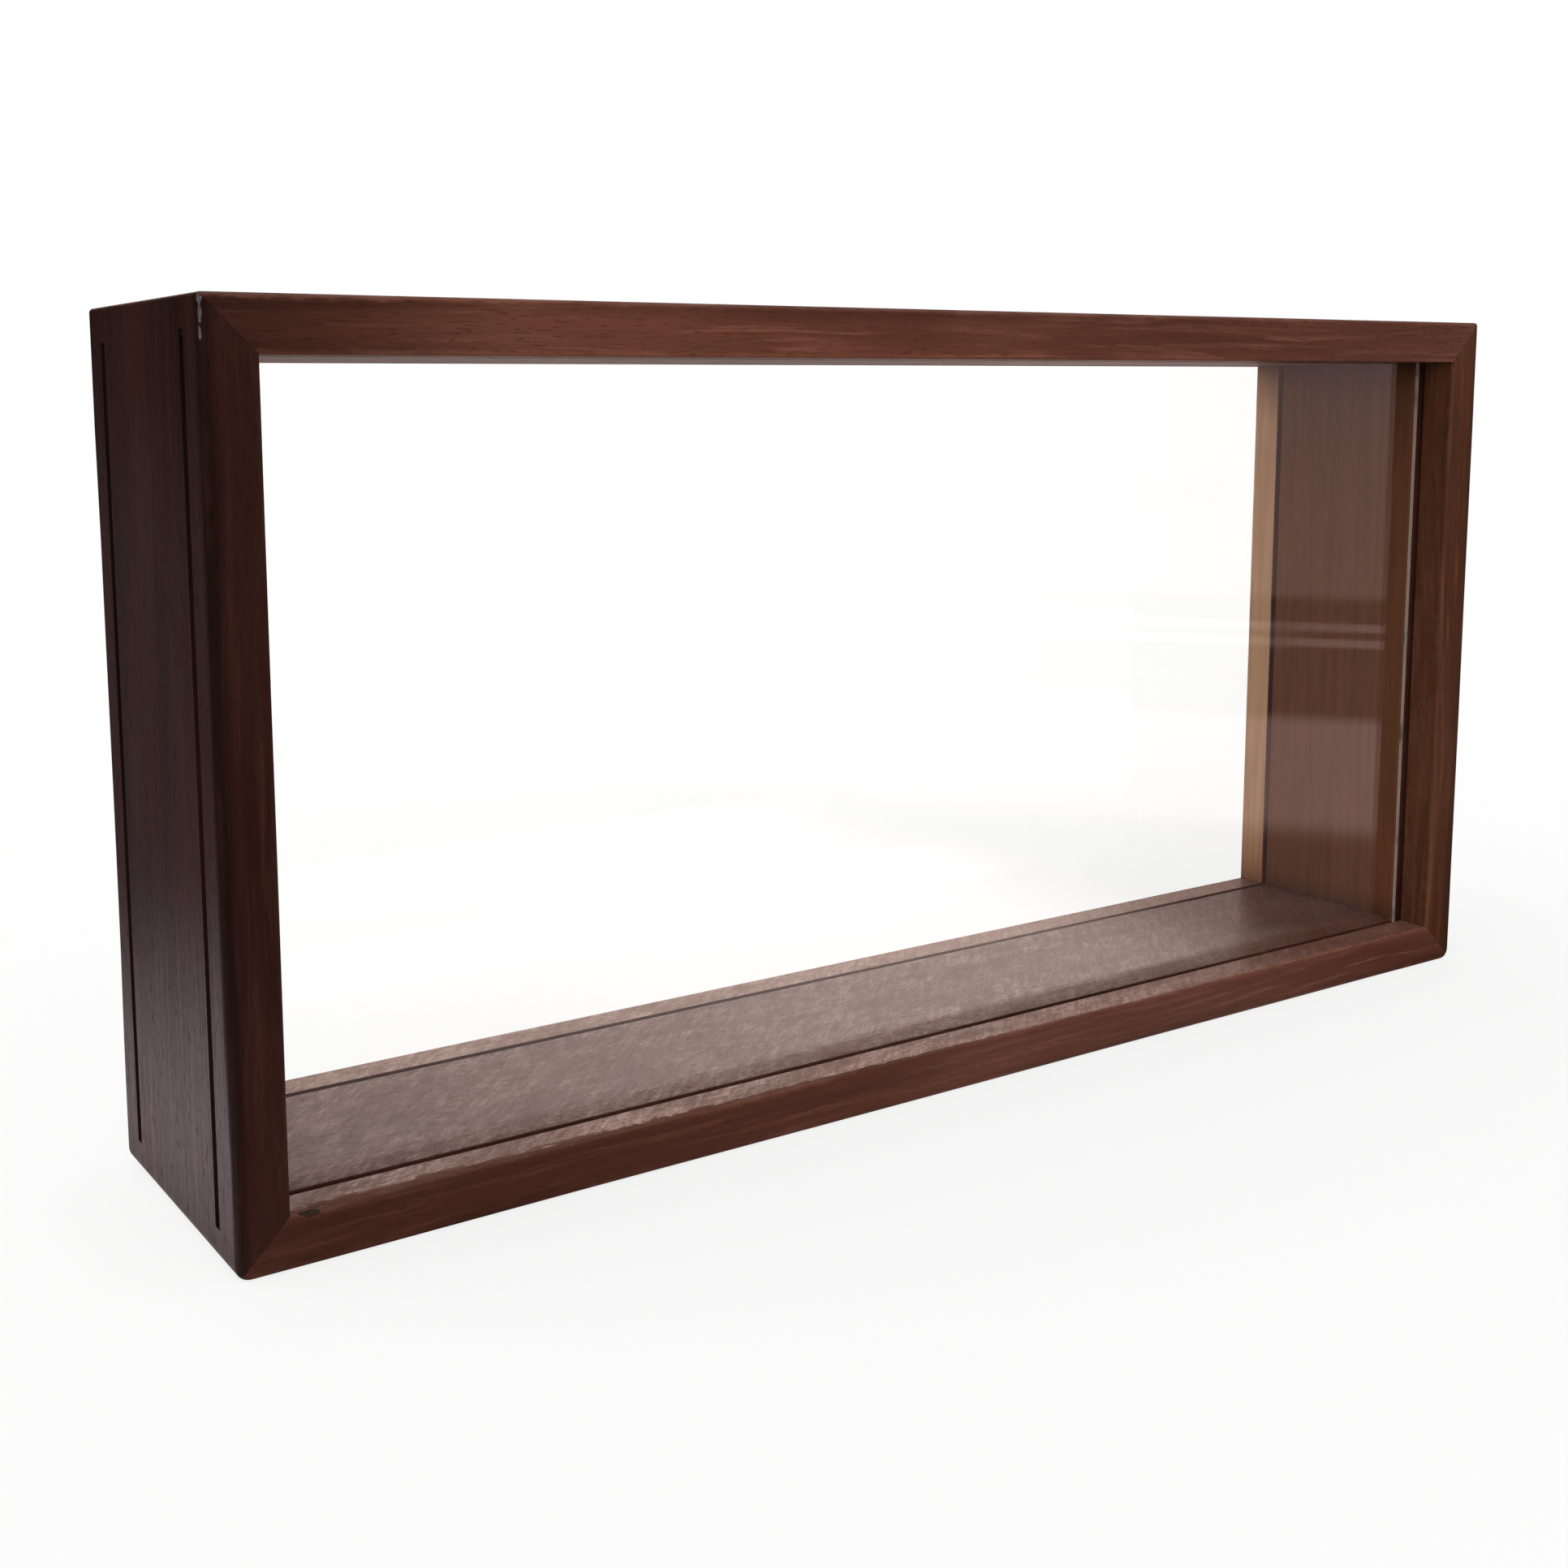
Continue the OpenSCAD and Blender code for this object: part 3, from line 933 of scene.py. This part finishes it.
def cut_away(context, piece, cutter_bm):
    """Takes the cutter's blocks and lumps out of a piece."""
    waste = add_object(context, "waste", cutter_bm, piece.data.materials)
    cut = piece.modifiers.new("cut", "BOOLEAN")
    cut.operation, cut.solver, cut.object = "DIFFERENCE", "EXACT", waste
    cut.material_mode = "INDEX"
    cut.use_self = True
    old, lumps = piece.data, waste.data
    shaped = bpy.data.meshes.new_from_object(piece.evaluated_get(context.evaluated_depsgraph_get()))
    piece.modifiers.clear()
    if len(shaped.polygons) < len(old.polygons):
        raise RuntimeError(piece.name + " was lost when its waste was cut away")
    piece.data = shaped
    shaped.name = old.name
    bpy.data.objects.remove(waste)
    for mesh in (old, lumps):
        bpy.data.meshes.remove(mesh)


def smooth(mesh):
    """Smooth shading that keeps the sharp edges."""
    mesh.polygons.foreach_set("use_smooth", [True] * len(mesh.polygons))
    mesh.set_sharp_from_angle(angle=SHARP_ANGLE)
    mesh.update()


def make_board(name, context):
    """Builds one board, dresses it and sets it in its place."""
    sizes, wood = context.scene.display_box_sizes, context.scene.display_box_wood
    look = BOARDS[name]
    end, seed = look["length"] / 2, look["seed"]
    # grooves and slots in the board's tone times its groove share: painted shade where the share is below
    # 1, painted light above
    grooves = [toned(c, look["tone"] * look["groove"]) for c in (wood.dark, wood.middle, wood.light)]
    bared = [toned(look["chip"], share) for share in BARE_SHARES]
    piece = add_object(context, name + "_board", sweep_board(sizes, look), (
        stained_wood(name + "_stain", wood, sizes, look),
        sawn_wood(name + "_sawn", grooves, seed),
        sawn_wood(name + "_bare", bared, seed),
    ))
    waste = bmesh.new()
    for sign in (-1, 1):
        add_pocket(waste, end, sign)
    if name == "left_end":
        reach, half = end - sizes.groove_floor, sizes.groove_w / 2
        for middle in (FRONT_Y, REAR_Y):
            low, high = (-reach, middle - half, -MM), (reach, middle + half, sizes.board_t + MM)
            add_box(waste, low, high, SAWN)
    add_knocks(waste, name, sizes.board_t)
    cut_away(context, piece, waste)
    smooth(piece.data)
    turn = Matrix.Rotation(math.radians(look["turn"]), 4, "Y")
    piece.matrix_world = Matrix.Translation(look["place"]) @ turn
    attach(piece, "case")
    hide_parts(name)


# Studio

def seen_straight(tree):
    """1 for what the eye sees directly or through clear glass, 0 for what only lights or is mirrored."""
    path = outputs(tree, "ShaderNodeLightPath")
    looked_at = path["Is Camera Ray"].maths("MAXIMUM", path["Is Transmission Ray"])
    return looked_at * (path["Diffuse Depth"] + path["Glossy Depth"] < 0.5)


def shown_white(tree):
    """White for what is seen straight, made up for the light that each face of a pane takes from it."""
    passed = output(tree, "ShaderNodeLightPath", out="Transmission Depth")
    return (passed * PANE_FACE_LOSS + 1.0) * seen_straight(tree)


def mirrored(tree):
    """1 for what a gloss mirrors, also through a pane."""
    path = outputs(tree, "ShaderNodeLightPath")
    return (path["Glossy Depth"] > 0.5) * (path["Diffuse Depth"] < 0.5)


def glows(tree, kind, levels):
    """Shaders of coloured glows that only a gloss sees, from pairs of level and tint."""
    return [
        output(tree, kind, {"Color": tint, "Strength": level * mirrored(tree)}) for level, tint in levels
    ]


def add_floor(context, stage):
    """A wide pale floor. A gloss mirrors bands and glows on it that aren't seen straight."""
    bm = bmesh.new()
    bmesh.ops.create_circle(bm, cap_ends=True, segments=FLOOR_SEGMENTS, radius=FLOOR_RADIUS)
    material, tree, shader, place = new_material("pale_floor")
    floor = add_object(context, "floor", bm, [material])
    tree.nodes.remove(shader)
    material.cycles.emission_sampling = "NONE"
    x, y, _ = place.split()
    reach = place.vectors("LENGTH", out="Value")

    beside = place.vectors("DISTANCE", LEFT_GLOW, out="Value")
    left = beside.ramp(0.0, LEFT_REACH, *LEFT_LEVELS) * x.ramp(*LEFT_EDGE, 1.0, 0.0)
    back = place.vectors("NORMALIZE").along(BACK_WAY).ramp(*BACK_SPREAD, 0.0, BACK_LEVEL)
    back = back * reach.ramp(*BACK_FLOOR, 0.0, BACK_LOW)
    ahead = place.along(PANE_MIRROR) - PANE_MIRROR_START
    first, *others = (ahead.between(*band) for band in MIRROR_BANDS)
    room = sum(others, first)
    apron = x.ramp(APRON_LENGTH[0], APRON_FULL, *APRON_LEVELS)
    apron = apron * x.between(*APRON_LENGTH, APRON_LENGTH_EASE, 1.0)
    apron = apron * y.between(*APRON_DEPTH, APRON_DEPTH_EASE, 1.0)
    shine = sum_shaders(*glows(tree, "ShaderNodeEmission", (
        (left, LEFT_TINT), (back, BACK_TINT), (room, ROOM_TINT), (apron, APRON_TINT),
    )))

    pale = output(tree, "ShaderNodeBsdfDiffuse", {"Color": four(stage.floor)})
    white = output(tree, "ShaderNodeEmission", {"Color": WHITE, "Strength": shown_white(tree)})
    shown = reach.ramp(*SHADOW_REACH, SHADOW_WHITE, 1.0).mix_shaders(pale, white)
    dull = output(tree, "ShaderNodeBsdfDiffuse", {"Color": FLOOR_LIGHT})
    other = mirrored(tree).mix_shaders(dull, shine)
    show(tree, seen_straight(tree).mix_shaders(other, shown))


def add_sky(context):
    """Soft light all round, white where it is seen straight. A gloss mirrors its own glows in it."""
    world = bpy.data.worlds.new("studio")
    world.use_nodes = True
    tree = world.node_tree
    tree.nodes.clear()
    way = output(tree, "ShaderNodeTexCoord", out="Generated")
    x, _, z = way.split()
    back = way.along(BACK_WAY).ramp(*BACK_SPREAD, 0.0, BACK_LEVEL) * z.ramp(0.0, BACK_RISE, BACK_LOW, 1.0)
    side = way.along(PANE_MIRROR).ramp(0.5, 0.9, 0.0, ROOM_LEVEL) * z.ramp(0.0, 0.45, 1.0, 0.0)
    soft = z.ramp(-0.2, 1.0, 0.25, 0.7) + x.ramp(-0.9, 0.0, 1.5, 0.0)
    high = z.ramp(0.3, 0.9, 0.0, 0.6) * x.ramp(-0.7, 0.1) + HIGH_LEAST
    plain = high * mirrored(tree) + soft * (1.0 - mirrored(tree))
    plain = plain.maths("MAXIMUM", shown_white(tree))
    sky = output(tree, "ShaderNodeBackground", {"Color": WHITE, "Strength": plain})
    shine = glows(tree, "ShaderNodeBackground", ((back, BACK_TINT), (side, ROOM_TINT)))
    add_node(tree, "ShaderNodeOutputWorld", {"Surface": sum_shaders(sky, *shine)})
    world.cycles.sampling_method = "NONE"
    context.scene.world = world


def add_soft_box(context, name, place, target, size, power):
    """A large soft lamp that points at a target and doesn't show itself."""
    lamp = bpy.data.lights.new(name, "AREA")
    lamp.shape, lamp.energy = "RECTANGLE", power
    lamp.size, lamp.size_y = size
    box = bpy.data.objects.new(name, lamp)
    context.collection.objects.link(box)
    aim = (Vector(target) - Vector(place)).to_track_quat("-Z", "Y")
    box.matrix_world = Matrix.Translation(place) @ aim.to_matrix().to_4x4()
    box.visible_camera = False
    box.visible_glossy = False
    box.visible_transmission = False


def add_camera(context, stage):
    """The camera, with its roll, lens and shift."""
    forward = Vector(stage.forward).normalized()
    right = forward.cross(Vector((0, 0, 1))).normalized()
    up = right.cross(forward)
    turn = Matrix((right, up, -forward)).transposed().to_4x4() @ Matrix.Rotation(-stage.roll, 4, "Z")
    camera = bpy.data.objects.new("camera", bpy.data.cameras.new("camera"))
    context.collection.objects.link(camera)
    camera.matrix_world = Matrix.Translation(stage.eye) @ turn
    camera.data.sensor_width = SENSOR_WIDTH
    camera.data.lens = stage.lens
    camera.data.shift_x, camera.data.shift_y = stage.shift
    camera.data.clip_start, camera.data.clip_end = CLIP
    context.scene.camera = camera


# Operators

class DISPLAYBOX_OT_rails(Operator):
    """Build the top and bottom rails"""
    bl_idname = "displaybox.rails"
    bl_label = "Rails"

    def execute(self, context):
        for name in ("bottom_rail", "top_rail"):
            make_board(name, context)
        return {"FINISHED"}


class DISPLAYBOX_OT_ends(Operator):
    """Build the slotted left end and the plain right end"""
    bl_idname = "displaybox.ends"
    bl_label = "Ends"

    def execute(self, context):
        for name in ("left_end", "right_end"):
            make_board(name, context)
        return {"FINISHED"}


class DISPLAYBOX_OT_panes(Operator):
    """Build the two panes with their ground edges"""
    bl_idname = "displaybox.panes"
    bl_label = "Panes"

    def execute(self, context):
        sizes, glass = context.scene.display_box_sizes, context.scene.display_box_glass
        materials = clear_glass(glass), ground_glass(glass)
        for side, (low, high) in PANES.items():
            middle = (low + high) / 2
            bm = bmesh.new()
            add_box(bm, low - middle, high - middle, POLISHED)
            bmesh.ops.bevel(
                bm, geom=bm.edges[:], offset=sizes.glass_seam, segments=PANE_BEVEL_STEPS,
                profile=PANE_BEVEL_FULLNESS, affect="EDGES")
            for face in bm.faces:
                face.material_index = POLISHED if face.calc_area() > PANE_FACE_LEAST else GROUND
            pane = add_object(context, side + "_pane", bm, materials)
            pane.matrix_world = Matrix.Translation(middle)
            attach(pane, side + "_pane")
            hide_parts(side + "_glass")
        return {"FINISHED"}


class DISPLAYBOX_OT_splines(Operator):
    """Finish the splines that lie hidden in the mitres"""
    bl_idname = "displaybox.splines"
    bl_label = "Splines"

    def execute(self, context):
        wood = context.scene.display_box_wood
        bare = sawn_wood("spline_wood", [toned(wood.bare, share) for share in BARE_SHARES], SPLINE_SEED)
        for name in SPLINES:
            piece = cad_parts[name]
            piece.data.materials.clear()
            piece.data.materials.append(bare)
        return {"FINISHED"}


class DISPLAYBOX_OT_stage(Operator):
    """Set the floor, the soft light and the camera"""
    bl_idname = "displaybox.stage"
    bl_label = "Stage"

    def execute(self, context):
        stage = context.scene.display_box_stage
        add_floor(context, stage)
        add_sky(context)
        for *lamp, power in SOFT_BOXES:
            add_soft_box(context, *lamp, getattr(stage, power))
        add_camera(context, stage)
        context.scene.view_settings.view_transform = "Standard"
        return {"FINISHED"}


OPERATORS = (
    DISPLAYBOX_OT_rails, DISPLAYBOX_OT_ends, DISPLAYBOX_OT_panes, DISPLAYBOX_OT_splines,
    DISPLAYBOX_OT_stage,
)


class DISPLAYBOX_PT_panel(Panel):
    """Lists the operators that build the box"""
    bl_label = "Display Box"
    bl_idname = "DISPLAYBOX_PT_panel"
    bl_space_type = "VIEW_3D"
    bl_region_type = "UI"
    bl_category = "Display Box"

    def draw(self, context):
        for operator in OPERATORS:
            self.layout.operator(operator.bl_idname)


PROPERTY_GROUPS = {
    "display_box_sizes": DisplayBoxSizes, "display_box_wood": DisplayBoxWood,
    "display_box_glass": DisplayBoxGlass, "display_box_stage": DisplayBoxStage,
}


def register():
    """Registers the properties, the operators and the panel."""
    for name, kind in PROPERTY_GROUPS.items():
        bpy.utils.register_class(kind)
        setattr(bpy.types.Scene, name, PointerProperty(type=kind))
    for kind in (*OPERATORS, DISPLAYBOX_PT_panel):
        bpy.utils.register_class(kind)


def unregister():
    """Takes back what register did."""
    for kind in (DISPLAYBOX_PT_panel, *reversed(OPERATORS)):
        bpy.utils.unregister_class(kind)
    for name, kind in PROPERTY_GROUPS.items():
        delattr(bpy.types.Scene, name)
        bpy.utils.unregister_class(kind)


def main():
    """Builds every piece in order."""
    register()
    for make in GROUP_MAKERS:
        make()
    bpy.ops.displaybox.rails()
    bpy.ops.displaybox.ends()
    bpy.ops.displaybox.panes()
    bpy.ops.displaybox.splines()
    bpy.ops.displaybox.stage()


if __name__ == "__main__":
    main()
